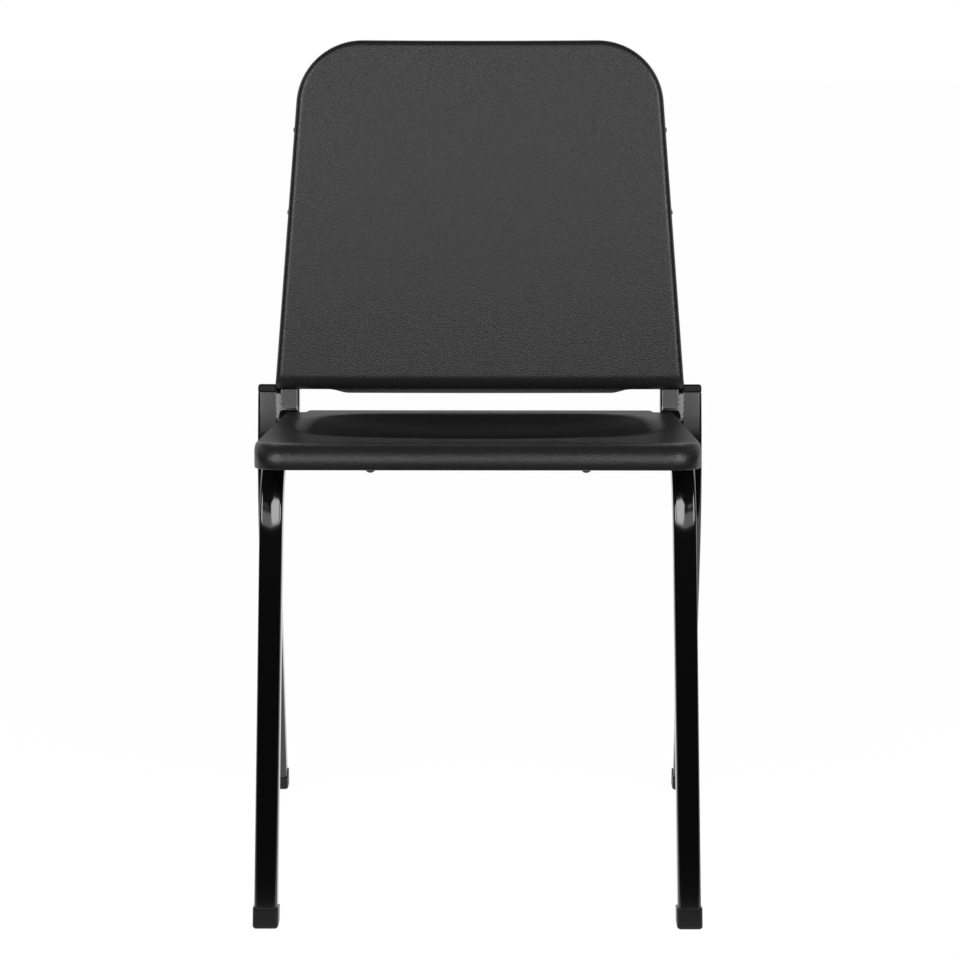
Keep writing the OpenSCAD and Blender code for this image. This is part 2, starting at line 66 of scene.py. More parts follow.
def turned(v, axis, angle):
    # v turned about a unit axis, once for each angle
    angle = np.atleast_1d(angle)[:, None]
    return v * np.cos(angle) + np.cross(axis, v) * np.sin(angle) + axis * (axis @ v) * (1 - np.cos(angle))


def arc(centre, radius, start, stop, count):
    # Points at even angles, in degrees, on a circle
    a = np.radians(np.linspace(start, stop, count))
    return np.array(centre) + radius * np.stack([np.cos(a), np.sin(a)], 1)


def line(a, b, count):
    # Points between a and b, without either end
    return mix(np.array(a), np.array(b), np.linspace(0, 1, count + 1)[1:-1, None])


def quarter(count):
    # Angles of a quarter turn
    return np.radians(np.linspace(0, 90, count))


def fullTurn(count=48):
    return np.linspace(0, 2 * math.pi, count, endpoint=False)


def bothSides(half):
    # A closed outline from its right half, which runs from the middle to the middle
    return np.concatenate([half, half[-2:0:-1] * [-1, 1]])


def lattice(grid, closed=False, firstPole=None, lastPole=None):
    # Faces over a grid of rows by columns. Columns close on themselves; rows do when closed is set,
    # and otherwise a fan to a pole shuts each end.
    rows, cols = grid.shape[:2]
    points = [grid.reshape(-1, 3)]
    k = np.arange(rows if closed else rows - 1)[:, None]
    i = np.arange(cols)[None, :]
    near, far, nextI = k * cols, ((k + 1) % rows) * cols, (i + 1) % cols
    quads = np.stack([near + i, near + nextI, far + nextI, far + i], -1).reshape(-1, 4)
    ring = np.arange(cols)
    fans = []
    for pole, start, step in ((firstPole, 0, -1), (lastPole, (rows - 1) * cols, 1)):
        if pole is not None:
            apex = np.full(cols, rows * cols + len(points) - 1)
            points.append(np.array(pole, float)[None])
            fans.append(np.stack([start + ring, start + np.roll(ring, -1), apex], -1)[:, ::step])
    return np.concatenate(points), quads, np.concatenate(fans) if fans else np.zeros((0, 3), int)


def outward(patch):
    # The patch with its faces turned out, told from the sign of the volume that it encloses
    points, quads, fans = patch
    split = np.concatenate([quads[:, [0, 1, 2]], quads[:, [0, 2, 3]], fans])
    a, b, c = (points[split[:, n]] for n in range(3))
    if np.einsum("ij,ij->", a, np.cross(b, c)) < 0:
        quads, fans = quads[:, ::-1], fans[:, ::-1]
    return points, quads, fans


def mirrored(patch):
    points, quads, fans = patch
    return outward((points * [-1, 1, 1], quads, fans))


def newPiece(name, patches, material, standsFor, sharp=38):
    # One mesh object from closed patches, smooth but for edges sharper than an angle
    points, faces, start = [], [], 0
    for patch in patches:
        p, quads, fans = outward(patch)
        points.append(p)
        faces += (quads + start).tolist() + (fans + start).tolist()
        start += len(p)
    mesh = bpy.data.meshes.new(name)
    mesh.from_pydata(np.concatenate(points).tolist(), [], faces)
    mesh.shade_smooth()
    mesh.set_sharp_from_angle(angle=math.radians(sharp))
    mesh.materials.append(material)
    piece = bpy.data.objects.new(name, mesh)
    bpy.context.scene.collection.objects.link(piece)
    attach(piece, "root")
    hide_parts(*standsFor)


# Materials. Patterns lie on Object coordinates, in metres.

def addNode(tree, kind, **values):
    node = tree.nodes.new("ShaderNode" + kind)
    for key, value in values.items():
        if key in node.inputs:
            node.inputs[key].default_value = value
        else:
            setattr(node, key, value)
    return node


def groupTree(name, inputs, outputs):
    tree = bpy.data.node_groups.new(name, "ShaderNodeTree")
    for label, value in inputs.items():
        socket = tree.interface.new_socket(label, in_out="INPUT", socket_type="NodeSocketFloat")
        socket.default_value = value
    for label in outputs:
        tree.interface.new_socket(label, in_out="OUTPUT", socket_type="NodeSocketFloat")
    return tree, tree.nodes.new("NodeGroupInput"), tree.nodes.new("NodeGroupOutput")


def feed(tree, socket, source):
    # A link from another node's output, or a plain value set on the socket itself
    if isinstance(source, bpy.types.NodeSocket):
        tree.links.new(source, socket)
    else:
        socket.default_value = source


def computed(tree, kind, operation, *operands):
    # The output of a Math or VectorMath node fed with sockets and plain values
    node = addNode(tree, kind, operation=operation)
    for socket, operand in zip(node.inputs, operands):
        feed(tree, socket, operand)
    return node.outputs[0]


def remapped(tree, source, given, result=(0, 1), smooth=False):
    # The source's values carried from one range to another, and held at its ends
    node = addNode(tree, "MapRange", interpolation_type="SMOOTHSTEP" if smooth else "LINEAR")
    for label, value in zip(("From Min", "From Max", "To Min", "To Max"), (*given, *result)):
        node.inputs[label].default_value = value
    tree.links.new(source, node.inputs["Value"])
    return node.outputs["Result"]


def pattern(tree, kind, where, scale, **values):
    # The outputs of a texture node at a place and a scale
    node = addNode(tree, kind, **values)
    tree.links.new(where, node.inputs["Vector"])
    tree.links.new(scale, node.inputs["Scale"])
    return node.outputs


# Ranges and shares that the patterns below are made with

pebble = {"warp": 0.0006, "smoothness": 0.5, "top": (0.75, 0.1), "fineShare": 2.3, "fineHeight": 0.35,
          "fleck": (0.52, 0.72)}
nib = {"dust": (0.66, 0.8), "height": 0.15}
# In the seat's hollow the gloss is dulled, and the colour is darkened by a share as painted shade
hollowDullAndShade = {"centre": (0, -0.02, 0.44), "reach": (0.184, 0.152, 1), "powers": (1.7, 2.6), "fade": (0.75, 1.1),
        "glossShare": 0.02, "paintedShadeShare": 0.5}
surface = {"ior": 1.5, "grazing": (0.5, 0.94)}


def mouldGrain():
    # Moulded leather grain: pebbles with creases between them, over slow rises and falls.
    # Height drives a bump, Fleck marks the pebble tops, Cloud is the slow change.
    masks = ["Height", "Fleck", "Cloud"]
    tree, given, out = groupTree("mouldGrain", {"Pebbles": 900.0, "Clouds": 14.0}, masks)
    where, scale = addNode(tree, "TexCoord").outputs["Object"], given.outputs["Pebbles"]
    warp = pattern(tree, "TexNoise", where, scale, Detail=2.0)["Color"]
    shift = computed(tree, "VectorMath", "MULTIPLY", warp, (pebble["warp"],) * 3)
    bent = computed(tree, "VectorMath", "ADD", where, shift)
    pebbles = pattern(tree, "TexVoronoi", bent, scale, feature="SMOOTH_F1", Smoothness=pebble["smoothness"])
    fineScale = computed(tree, "Math", "MULTIPLY", scale, pebble["fineShare"])
    fine = pattern(tree, "TexNoise", where, fineScale, Detail=3.0, Roughness=0.7)["Fac"]
    cloud = pattern(tree, "TexNoise", where, given.outputs["Clouds"], Detail=4.0, Roughness=0.55)["Fac"]
    tops = remapped(tree, pebbles["Distance"], pebble["top"], smooth=True)
    height = computed(tree, "Math", "MULTIPLY_ADD", fine, pebble["fineHeight"], tops)
    tree.links.new(height, out.inputs["Height"])
    tree.links.new(remapped(tree, fine, pebble["fleck"]), out.inputs["Fleck"])
    tree.links.new(cloud, out.inputs["Cloud"])
    return tree


def paintFlow():
    # Powder coat: a slow orange peel with fine dust nibs in it
    tree, given, out = groupTree("paintFlow", {"Peel": 260.0, "Nibs": 1400.0}, ["Height", "Dust"])
    where = addNode(tree, "TexCoord").outputs["Object"]
    peel = pattern(tree, "TexNoise", where, given.outputs["Peel"], Detail=1.0)["Fac"]
    nibs = pattern(tree, "TexNoise", where, given.outputs["Nibs"], Detail=2.0)["Fac"]
    dust = remapped(tree, nibs, nib["dust"])
    height = computed(tree, "Math", "MULTIPLY_ADD", dust, nib["height"], peel)
    tree.links.new(height, out.inputs["Height"])
    tree.links.new(dust, out.inputs["Dust"])
    return tree


def seatHollowDullAndShade(tree):
    # 1 in the hollow of the seat, where its gloss is dulled and its colour darkened as painted shade,
    # falling to 0 a little way over its rim. How far out a point is: across, squared and to a power, plus
    # along, squared and to another.
    where = addNode(tree, "TexCoord").outputs["Object"]
    shift = computed(tree, "VectorMath", "SUBTRACT", where, hollowDullAndShade["centre"])
    scaled = computed(tree, "VectorMath", "DIVIDE", shift, hollowDullAndShade["reach"])
    split = addNode(tree, "SeparateXYZ")
    tree.links.new(computed(tree, "VectorMath", "MULTIPLY", scaled, scaled), split.inputs["Vector"])
    across, along = (computed(tree, "Math", "POWER", split.outputs[axis], power)
                     for axis, power in zip("XY", hollowDullAndShade["powers"]))
    reach = computed(tree, "Math", "ADD", across, along)
    return remapped(tree, reach, hollowDullAndShade["fade"], (1, 0), smooth=True)


def shadedBy(name, group, sockets, look, hollowDullAndShadeBy=None):
    # A material whose colour and roughness run between two values along one mask each, with a bump. Seen at
    # a grazing angle, the pebbles of a grain hide each other's shiny tops, so the gloss of a look with a
    # grazeShare falls to it. Along a hollow mask the gloss falls to a share, and the colour darkens to a
    # share as painted shade.
    material = bpy.data.materials.new(name)
    material.use_nodes = True
    tree = material.node_tree
    shader = tree.nodes["Principled BSDF"]
    effect = addNode(tree, "Group", node_tree=group)
    for label, value in sockets.items():
        effect.inputs[label].default_value = value
    tone = addNode(tree, "Mix", data_type="RGBA")
    tone.inputs["A"].default_value = (*look["dark"], 1)
    tone.inputs["B"].default_value = (*look["light"], 1)
    tree.links.new(effect.outputs[look["toneMask"]], tone.inputs["Factor"])
    colour, gloss = tone.outputs["Result"], look["specular"]
    rough = remapped(tree, effect.outputs[look["roughMask"]], (0, 1), look["roughness"])
    if "grazeShare" in look:
        facing = addNode(tree, "LayerWeight", Blend=0.5).outputs["Facing"]
        gloss = remapped(tree, facing, surface["grazing"], (gloss, gloss * look["grazeShare"]), smooth=True)
    if hollowDullAndShadeBy:
        hollowMask = hollowDullAndShadeBy(tree)
        glossShare = remapped(tree, hollowMask, (0, 1), (1, hollowDullAndShade["glossShare"]))
        paintedShadeShare = remapped(tree, hollowMask, (0, 1), (1, hollowDullAndShade["paintedShadeShare"]))
        gloss = computed(tree, "Math", "MULTIPLY", gloss, glossShare)
        # Painted shade: the colour darkened in the seat's hollow
        colour = computed(tree, "VectorMath", "MULTIPLY", colour, paintedShadeShare)
    bump = addNode(tree, "Bump", Strength=look["bump"], Distance=look["bumpDepth"])
    tree.links.new(effect.outputs["Height"], bump.inputs["Height"])
    fed = {"Base Color": colour, "Roughness": rough, "Specular IOR Level": gloss, "IOR": surface["ior"],
           "Metallic": look.get("metallic", 0), "Normal": bump.outputs["Normal"]}
    shader.inputs["Specular IOR Level"].default_value = look["specular"]  # stays where a link is dropped
    for label, source in fed.items():
        feed(tree, shader.inputs[label], source)
    return material


grain = mouldGrain()
flow = paintFlow()
leather = {"Pebbles": 600, "Clouds": 16}
plastic = {
    "dark": (0.013, 0.013, 0.0133), "light": (0.021, 0.021, 0.0213), "toneMask": "Fleck",
    "roughness": (0.25, 0.36), "roughMask": "Cloud", "bump": 0.6, "bumpDepth": 0.00018,
    "specular": 0.34, "grazeShare": 0.01,
}
backPlastic = shadedBy("backPlastic", grain, leather, {**plastic, "specular": 0.31})
# The seat's hollow is darkened in colour as painted shade
seatPlastic = shadedBy("seatPlastic", grain, leather, plastic, hollowDullAndShadeBy=seatHollowDullAndShade)
framePaint = shadedBy("framePaint", flow, {"Peel": 220, "Nibs": 1500}, {
    "dark": (0.003, 0.003, 0.0031), "light": (0.006, 0.006, 0.006), "toneMask": "Dust",
    "roughness": (0.13, 0.24), "roughMask": "Dust", "bump": 0.1, "bumpDepth": 0.0001,
    "specular": 0.85,
})
# Painted highlight: the welds are painted black like the frame, and this light grey stands in for the light
# that their beads catch
beadPaintedHighlight = shadedBy("beadPaintedHighlight", flow, {"Peel": 700, "Nibs": 1100}, {
    "dark": (0.13, 0.13, 0.13), "light": (0.36, 0.36, 0.36), "toneMask": "Dust",
    "roughness": (0.3, 0.42), "roughMask": "Dust", "bump": 0.3, "bumpDepth": 0.0002,
    "specular": 1.0,
})
capRubber = shadedBy("capRubber", grain, {"Pebbles": 1300, "Clouds": 60}, {
    "dark": (0.004, 0.004, 0.004), "light": (0.007, 0.007, 0.007), "toneMask": "Cloud",
    "roughness": (0.3, 0.4), "roughMask": "Cloud", "bump": 0.3, "bumpDepth": 0.00006,
    "specular": 0.3,
})
plugPlastic = shadedBy("plugPlastic", grain, {"Pebbles": 1200, "Clouds": 70}, {
    "dark": (0.004, 0.004, 0.004), "light": (0.008, 0.008, 0.008), "toneMask": "Cloud",
    "roughness": (0.3, 0.42), "roughMask": "Cloud", "bump": 0.3, "bumpDepth": 0.00008,
    "specular": 0.12,
})
screwSteel = shadedBy("screwSteel", flow, {"Peel": 500, "Nibs": 1800}, {
    "dark": (0.05, 0.05, 0.052), "light": (0.09, 0.09, 0.092), "toneMask": "Dust",
    "roughness": (0.28, 0.42), "roughMask": "Dust", "bump": 0.15, "bumpDepth": 0.00006,
    "specular": 0.5, "metallic": 0.6,
})
print("materials made")


# Where the frame runs. The corner points and radii are those of the tubes' centrelines, right side.

tube = {"width": 0.0222, "wall": 0.0015, "cornerRadius": 0.0032, "bow": 0.00005,
        "bendDent": 0.0019, "dentRound": 0.15, "dentReach": 0.8, "dentPower": 12,
        "cornerSteps": 7, "faceSteps": 15, "step": 0.012, "bendStep": 1.5}
stance = {
    "frontFoot": (0.2042, -0.2472), "frontBendX": 0.1974, "uprightX": 0.2052,
    "frontSlant": 7.6, "rearSlant": 16.8, "recline": 11.5, "taper": 4.0, "seatFall": 3.4,
    "frontRadius": 0.076, "rearRadius": 0.028, "leanRadius": 0.11, "kneeRadius": 0.26,
    "leanStart": 0.049, "uprightLength": 0.344, "legRise": 0.0378, "kneeDrop": 0.0659,
    "kneeSpread": 0.00044, "footSpread": 0.0022, "legGap": 0.00012,
}
seat = {
    "height": 0.469, "frontHalf": 0.2125, "rearHalf": 0.208, "frontY": -0.2396, "length": 0.3753,
    "wall": 0.0045, "lip": 0.0245, "cornerRadius": 0.028, "rearRadius": 0.008, "sideDepth": 0.0085,
    "rearDepth": 0.012, "tongue": 0.024, "tongueGap": 0.007, "tongueRadius": 0.008, "rootRadius": 0.003,
    "edgeRadius": 0.004, "frontEdgeRadius": 0.021, "edgeFadeShare": 1.4, "hemRadius": 0.0012,
    "lipWall": 0.0032, "lipFade": 0.026, "fit": 0.00025, "behind": 0.016,
    "dishDepth": 0.018, "dishSide": 0.024, "dishRear": 0.002, "dishFront": 0.062,
    "sidePower": 2.8, "rearPower": 4, "frontPower": 2.2, "wallPower": 1.25,
}
caps = {"wall": 0.0013, "floor": 0.004, "height": 0.02, "cornerRadius": 0.004, "bottomRadius": 0.0028,
        "rimRadius": 0.0011, "dome": 0.0005, "fit": 0.0001, "leastRadius": 0.0003,
        "soleShares": (0.25, 0.5, 0.75, 0.9), "edgeSteps": 7, "wallShares": (0.15, 0.5, 0.85),
        "rimSteps": 4}
seatRearY = seat["frontY"] + seat["length"]
fallT = math.tan(math.radians(stance["seatFall"]))
reclineT = math.tan(math.radians(stance["recline"]))
taperT = math.tan(math.radians(stance["taper"])) / math.cos(math.radians(stance["recline"]))
railDown = seat["sideDepth"] + seat["fit"] + tube["width"] / 2


def seatPlane(y, down=0.0):
    # Height of the seat's flat, or of a line under it, measured square to it
    return seat["height"] - (y - seat["frontY"]) * fallT - down / math.cos(math.radians(stance["seatFall"]))


def footLift(slant):
    # How far up its own line a leg starts, so that its corner clears the cap's floor
    a = math.radians(slant)
    return caps["floor"] / math.cos(a) + tube["width"] / 2 * math.tan(a)


def cornerPoints():
    # Where the straight runs of a side tube and a rear leg meet, and where both legs' lines reach the floor
    slantT = math.tan(math.radians(stance["frontSlant"]))
    footX, footY = stance["frontFoot"]
    bendZ = seatPlane(footY, railDown) / (1 + slantT * fallT)
    frontFoot = np.array([footX, footY, 0])
    frontCorner = np.array([stance["frontBendX"], footY + bendZ * slantT, bendZ])
    rearY = seatRearY + seat["behind"]
    rearCorner = np.array([stance["uprightX"], rearY, seatPlane(rearY, railDown)])
    upward = np.array([0, reclineT, 1])
    lean = rearCorner + upward * stance["leanStart"]
    top = lean + np.array([-taperT, reclineT, 1]) * (stance["uprightLength"] - stance["leanStart"])
    start = frontFoot + unit(frontCorner - frontFoot) * footLift(stance["frontSlant"])
    side = np.array([start, frontCorner, rearCorner, lean, top])
    legX = stance["uprightX"] + tube["width"] + stance["legGap"]
    legTop = np.array([legX, rearY, rearCorner[2]]) + upward * stance["legRise"]
    knee = np.array([legX + stance["kneeSpread"], rearY, rearCorner[2]]) - upward * stance["kneeDrop"]
    slide = knee[2] * math.tan(math.radians(stance["rearSlant"]))
    rearFoot = np.array([legX + stance["footSpread"], knee[1] + slide, 0])
    legStart = rearFoot + unit(knee - rearFoot) * footLift(stance["rearSlant"])
    return side, np.array([legStart, knee, legTop]), frontFoot, rearFoot


def roundedPath(corners, radii):
    # Straight runs between corner points, each corner rounded to its own radius. A row is a point on the
    # line, its heading and the side direction that the tube keeps. A bend turns both about its own axis.
    headings = unit(np.diff(corners, axis=0))
    side = unit(np.array([1.0, 0, 0]) - headings[0] * headings[0][0])
    start, rows = corners[0], []
    for i, heading in enumerate(headings):
        last = i == len(headings) - 1
        if last:
            stop = corners[-1]
        else:
            axis = unit(np.cross(heading, headings[i + 1]))
            angle = math.acos(float(heading @ headings[i + 1]))
            stop = corners[i + 1] - heading * radii[i] * math.tan(angle / 2)
        count = max(2, int(np.linalg.norm(stop - start) / tube["step"]))
        t = np.linspace(0, 1, count)[:, None]
        rows.append((mix(start, stop, t), heading + 0 * t, side + 0 * t, 0 * t[:, 0], 0 * t[:, 0] + 1))
        if last:
            break
        a = np.linspace(0, angle, max(6, int(math.degrees(angle) / tube["bendStep"])))[1:-1]
        out = np.cross(heading, axis)
        sign = np.sign(out @ np.cross(heading, side))
        rows.append((stop - out * radii[i] + turned(out, axis, a) * radii[i], turned(heading, axis, a),
                     turned(side, axis, a), np.sin(a / angle * math.pi), 0 * a + sign))
        start = stop - out * radii[i] + turned(out, axis, [angle])[0] * radii[i]
        side = turned(side, axis, [angle])[0]
    points, along, sides, bend, sign = (np.concatenate(part) for part in zip(*rows))
    return {"points": points, "along": along, "side": sides, "bend": bend, "sign": sign}


def squareProfile(width, radius, faceSteps=5, bow=0.0):
    # A square with round corners, counterclockwise, with points along its flats, which swell by the bow
    h = width / 2 - radius
    spots = []
    for n, (x, y) in enumerate(((h, h), (-h, h), (-h, -h), (h, -h))):
        spots.append(arc((x, y), radius, 90 * n, 90 * n + 90, tube["cornerSteps"]))
        ax, ay = spots[-1][-1]
        bx, by = arc(((-h, h), (-h, -h), (h, -h), (h, h))[n], radius, 90 * n + 90, 90 * n + 90, 1)[0]
        ease = (1 - np.cos(np.linspace(0, math.pi, faceSteps + 2)[1:-1])) / 2
        swell = bow * (1 - (2 * ease - 1) ** 2)[:, None] * np.array(((0, 1), (-1, 0), (0, -1), (1, 0))[n])
        spots.append(mix(np.array([ax, ay]), np.array([bx, by]), ease[:, None]) + swell)
    return np.concatenate(spots)


def carried(profile, path, dent=0.0):
    # The profile set square to the path at each row. In a bend the outer face sinks to a trough, as thin
    # wall tube does: by the dent, times how deep in the bend the row is, times a rounded V across the face.
    yAxis = np.cross(path["along"], path["side"])
    x = np.broadcast_to(profile[:, 0], (len(path["points"]), len(profile)))
    y = np.broadcast_to(profile[:, 1], x.shape).copy()
    half = np.abs(profile[:, 1]).max()
    sign = path["sign"][:, None]
    onOuter = np.clip(y * sign / half, 0, 1) ** tube["dentPower"]
    soft = tube["dentRound"]
    flat = half - tube["cornerRadius"] * tube["dentReach"]
    bump = np.clip((math.hypot(1, soft) - np.hypot(x / flat, soft)) / (math.hypot(1, soft) - soft), 0, 1)
    y = y - sign * dent * path["bend"][:, None] * bump * onOuter
    return path["points"][:, None] + path["side"][:, None] * x[..., None] + yAxis[:, None] * y[..., None]


def hollowTube(corners, radii, dent=0.0):
    # The outer wall up the path and the inner wall back down it, closed into one ring of rows
    path = roundedPath(corners, radii)
    width, radius, wall, steps = (tube[key] for key in ("width", "cornerRadius", "wall", "faceSteps"))
    outer = carried(squareProfile(width, radius, steps, tube["bow"]), path, dent)
    inner = carried(squareProfile(width - 2 * wall, radius - wall, steps), path, dent)
    return lattice(np.concatenate([outer, inner[::-1]]), closed=True)


sideCorners, legCorners, frontFoot, rearFoot = cornerPoints()
sideRadii = [stance["frontRadius"], stance["rearRadius"], stance["leanRadius"]]
sideTube = hollowTube(sideCorners, sideRadii, tube["bendDent"])
rearLeg = hollowTube(legCorners, [stance["kneeRadius"]])
newPiece("rightSideTube", [sideTube], framePaint, ["right_side_tube"])
newPiece("leftSideTube", [mirrored(sideTube)], framePaint, ["left_side_tube"])
newPiece("rightRearLeg", [rearLeg], framePaint, ["right_rear_leg"])
newPiece("leftRearLeg", [mirrored(rearLeg)], framePaint, ["left_rear_leg"])
print("tubes made")


# Foot caps: a cup of rubber round the end of a leg. Rows run from the middle of the sole, out round its
# edge, up the wall, over the rim and down inside to the middle of the cup's floor.

def footCap(corners, foot, slant):
    d = unit(corners[1] - corners[0])
    s = unit(np.array([1.0, 0, 0]) - d * d[0])
    c = np.cross(d, s)
    wide = tube["width"] + 2 * caps["wall"]

    def section(inset, width, radius):
        flat = squareProfile(width - 2 * inset, max(radius - inset, caps["leastRadius"]))
        return s * flat[:, :1] + c * flat[:, 1:]

    def level(ring, z):
        # Where the leg's own lines through a ring meet a height
        return foot + ring + d * ((z - ring[:, 2]) / d[2])[:, None]

    rows = []
    for share in caps["soleShares"]:
        ring = section(caps["bottomRadius"], wide, caps["cornerRadius"]) * share
        rows.append(level(ring, caps["dome"] * share ** 2))
    for a in quarter(caps["edgeSteps"]):
        ring = section(caps["bottomRadius"] * (1 - math.sin(a)), wide, caps["cornerRadius"])
        rows.append(level(ring, caps["dome"] + caps["bottomRadius"] * (1 - math.cos(a))))
    base = rows[-1]
    ring = section(0, wide, caps["cornerRadius"])
    rim = foot + ring + d * (caps["height"] - caps["rimRadius"])
    rows += [mix(base, rim, t) for t in caps["wallShares"]]
    for a in quarter(caps["rimSteps"]):
        inset = caps["rimRadius"] * (1 - math.cos(a))
        rise = caps["height"] - caps["rimRadius"] * (1 - math.sin(a))
        rows.append(foot + section(inset, wide, caps["cornerRadius"]) + d * rise)
    bore = section(0, tube["width"] + 2 * caps["fit"], tube["cornerRadius"])
    floorAt = footLift(slant) - caps["fit"]
    rows += [foot + bore + d * caps["height"], foot + bore + d * floorAt, foot + bore / 2 + d * floorAt]
    return lattice(np.array(rows), firstPole=foot, lastPole=foot + d * floorAt)


frontCap = footCap(sideCorners, frontFoot, stance["frontSlant"])
rearCap = footCap(legCorners, rearFoot, stance["rearSlant"])
newPiece("frontRightFootCap", [frontCap], capRubber, ["front_right_foot_cap"])
newPiece("frontLeftFootCap", [mirrored(frontCap)], capRubber, ["front_left_foot_cap"])
newPiece("rearRightFootCap", [rearCap], capRubber, ["rear_right_foot_cap"])
newPiece("rearLeftFootCap", [mirrored(rearCap)], capRubber, ["rear_left_foot_cap"])


# Leg plugs: a spigot in the tube, a head as wide as the tube with a rounded top

plug = {"height": 0.0095, "spigot": 0.014, "slack": 0.0002, "topRadius": 0.003, "dome": 0.0003,
        "under": 0.0006, "neck": 0.0006, "edgeSteps": 6, "domeShares": (0.8, 0.5, 0.2)}


def legPlug():
    top = legCorners[-1]
    d = unit(legCorners[-1] - legCorners[-2])
    s = unit(np.array([1.0, 0, 0]) - d * d[0])
    c = np.cross(d, s)

    def section(width, radius, rise, share=1.0):
        flat = squareProfile(width, radius) * share
        return top + s * flat[:, :1] + c * flat[:, 1:] + d * rise

    width, radius = tube["width"], tube["cornerRadius"]
    inside, insideR = width - 2 * tube["wall"] - plug["slack"], radius - tube["wall"]
    under, neck, edge = plug["under"], plug["neck"], plug["topRadius"]
    rows = [section(inside, insideR, -plug["spigot"], 0.5), section(inside, insideR, -plug["spigot"]),
            section(inside, insideR, under), section(width - 2 * neck, radius - neck, under),
            section(width, radius, under + neck)]
    for a in quarter(plug["edgeSteps"]):
        inset = edge * (1 - math.cos(a))
        rise = plug["height"] - plug["dome"] - edge * (1 - math.sin(a))
        rows.append(section(width - 2 * inset, radius - inset, rise))
    for share in plug["domeShares"]:
        rise = plug["height"] - plug["dome"] * share ** 2
        rows.append(section(width - 2 * edge, radius - edge, rise, share))
    return lattice(np.array(rows), firstPole=top - d * plug["spigot"], lastPole=top + d * plug["height"])


newPiece("rightLegPlug", [legPlug()], plugPlastic, ["right_leg_plug"])
newPiece("leftLegPlug", [mirrored(legPlug())], plugPlastic, ["left_leg_plug"])
print("caps and plugs made")


# Weld beads between each upright and its rear leg: a round bead laid in ripples, its edges wandering

bead = {"low": 0.008, "shy": 0.001, "half": 0.0036, "startShare": 0.72, "proud": 0.0012, "sunk": 2,
        "ripple": 0.0026, "rippleDepth": 0.0002, "crescent": 0.5, "wander": 0.0011, "waves": (1130, 2370),
        "end": 0.004, "endShare": 0.98, "steps": 170}


def legBead():
    # Angle round the bead by distance along it. Flat and wide, as weld that has run into the corner between
    # two tubes. Its width wanders, its crest rises once a ripple in crescents, and each end closes round.
    upward = np.array([0, reclineT, 1])
    d = unit(upward)
    inward = np.cross(d, np.array([1.0, 0, 0]))
    length = (stance["legRise"] - bead["low"]) / d[2] - bead["shy"]
    x = stance["uprightX"] + (tube["width"] + stance["legGap"]) / 2
    start = np.array([x, *sideCorners[2][1:]]) + upward * bead["low"] - inward * (tube["width"] / 2)
    s = np.linspace(0, 1, bead["steps"])[:, None] * length
    a = fullTurn()[None, :]
    phase = s / bead["ripple"] + bead["crescent"] * np.cos(a) ** 2
    crest = bead["proud"] - bead["rippleDepth"] * (np.abs((phase % 1) - 0.5) * 2) ** 2
    slow, quick = bead["waves"]
    wave = np.sin(s * slow + 2 * np.sign(np.cos(a))) + np.sin(s * quick - np.cos(a))
    half = bead["half"] * mix(bead["startShare"], 1, s / length) + bead["wander"] * wave / 2
    near = np.minimum(s, length - s)
    close = np.sqrt(1 - np.clip(1 - near / bead["end"], 0, 1) ** 2 * bead["endShare"])
    across = np.array([1.0, 0, 0]) * (half * close * np.cos(a))[..., None]
    depth = np.where(np.sin(a) > 0, bead["proud"] * bead["sunk"], crest) * close * np.sin(a)
    grid = start + d * s[..., None] + across + inward * depth[..., None]
    return lattice(grid, firstPole=start, lastPole=start + d * length)


newPiece("rightLegWeld", [legBead()], beadPaintedHighlight, ["right_leg_weld"], sharp=80)
newPiece("leftLegWeld", [mirrored(legBead())], beadPaintedHighlight, ["left_leg_weld"], sharp=80)
# The cross tubes' welds take the same painted highlight colour
for name in ("cross_tube_welds", "front_cross_tube", "rear_cross_tube"):
    nodes[name].data.materials.clear()
    nodes[name].data.materials.append(beadPaintedHighlight if name == "cross_tube_welds" else framePaint)
print("welds made")


# Seat shell. The counts of rings and steps say how finely each part of it is laid.

seatRings = {"middle": 0.02, "top": 62, "edge": 15, "lipShares": (0.3, 0.65), "hem": 5, "inside": 7,
             "underMiddle": 0.03, "under": 34}
seatSteps = {"front": 50, "corner": 27, "side": 80, "round": 9, "root": 7}


def seatOutline():
    # The seat seen from above, at no inset, and the way that each point moves for a metre of inset
    def at(inset):
        corner = [seat["frontHalf"] - seat["cornerRadius"], seat["frontY"] + seat["cornerRadius"]]
        rear = [seat["rearHalf"] - seat["rearRadius"], seatRearY - seat["rearRadius"]]
        tongueHalf = stance["uprightX"] - tube["width"] / 2 - seat["tongueGap"]
        root = [tongueHalf + seat["rootRadius"], seatRearY + seat["rootRadius"]]
        tip = [tongueHalf - seat["tongueRadius"], seatRearY + seat["tongue"] - seat["tongueRadius"]]
        front, end = [0, seat["frontY"] + inset], [0, seatRearY + seat["tongue"] - inset]
        side = [[seat["frontHalf"] - inset, corner[1]], [seat["rearHalf"] - inset, rear[1]]]
        return bothSides(np.concatenate([
            [front], line(front, [corner[0], front[1]], seatSteps["front"]),
            arc(corner, seat["cornerRadius"] - inset, -90, 0, seatSteps["corner"]),
            line(*side, seatSteps["side"]),
            arc(rear, seat["rearRadius"] - inset, 0, 90, seatSteps["round"]),
            arc(root, seat["rootRadius"] + inset, 270, 180, seatSteps["root"]),
            arc(tip, seat["tongueRadius"] - inset, 0, 90, seatSteps["round"]),
            line([tip[0], end[1]], end, seatSteps["front"]), [end],
        ]))

    step = 0.001
    base = at(0)
    return base, (at(step) - base) / step


dishHalf = seat["frontHalf"] - seat["dishSide"]
dishReach = (seat["length"] - seat["dishFront"] - seat["dishRear"]) / 2
dishY = seatRearY - seat["dishRear"] - dishReach


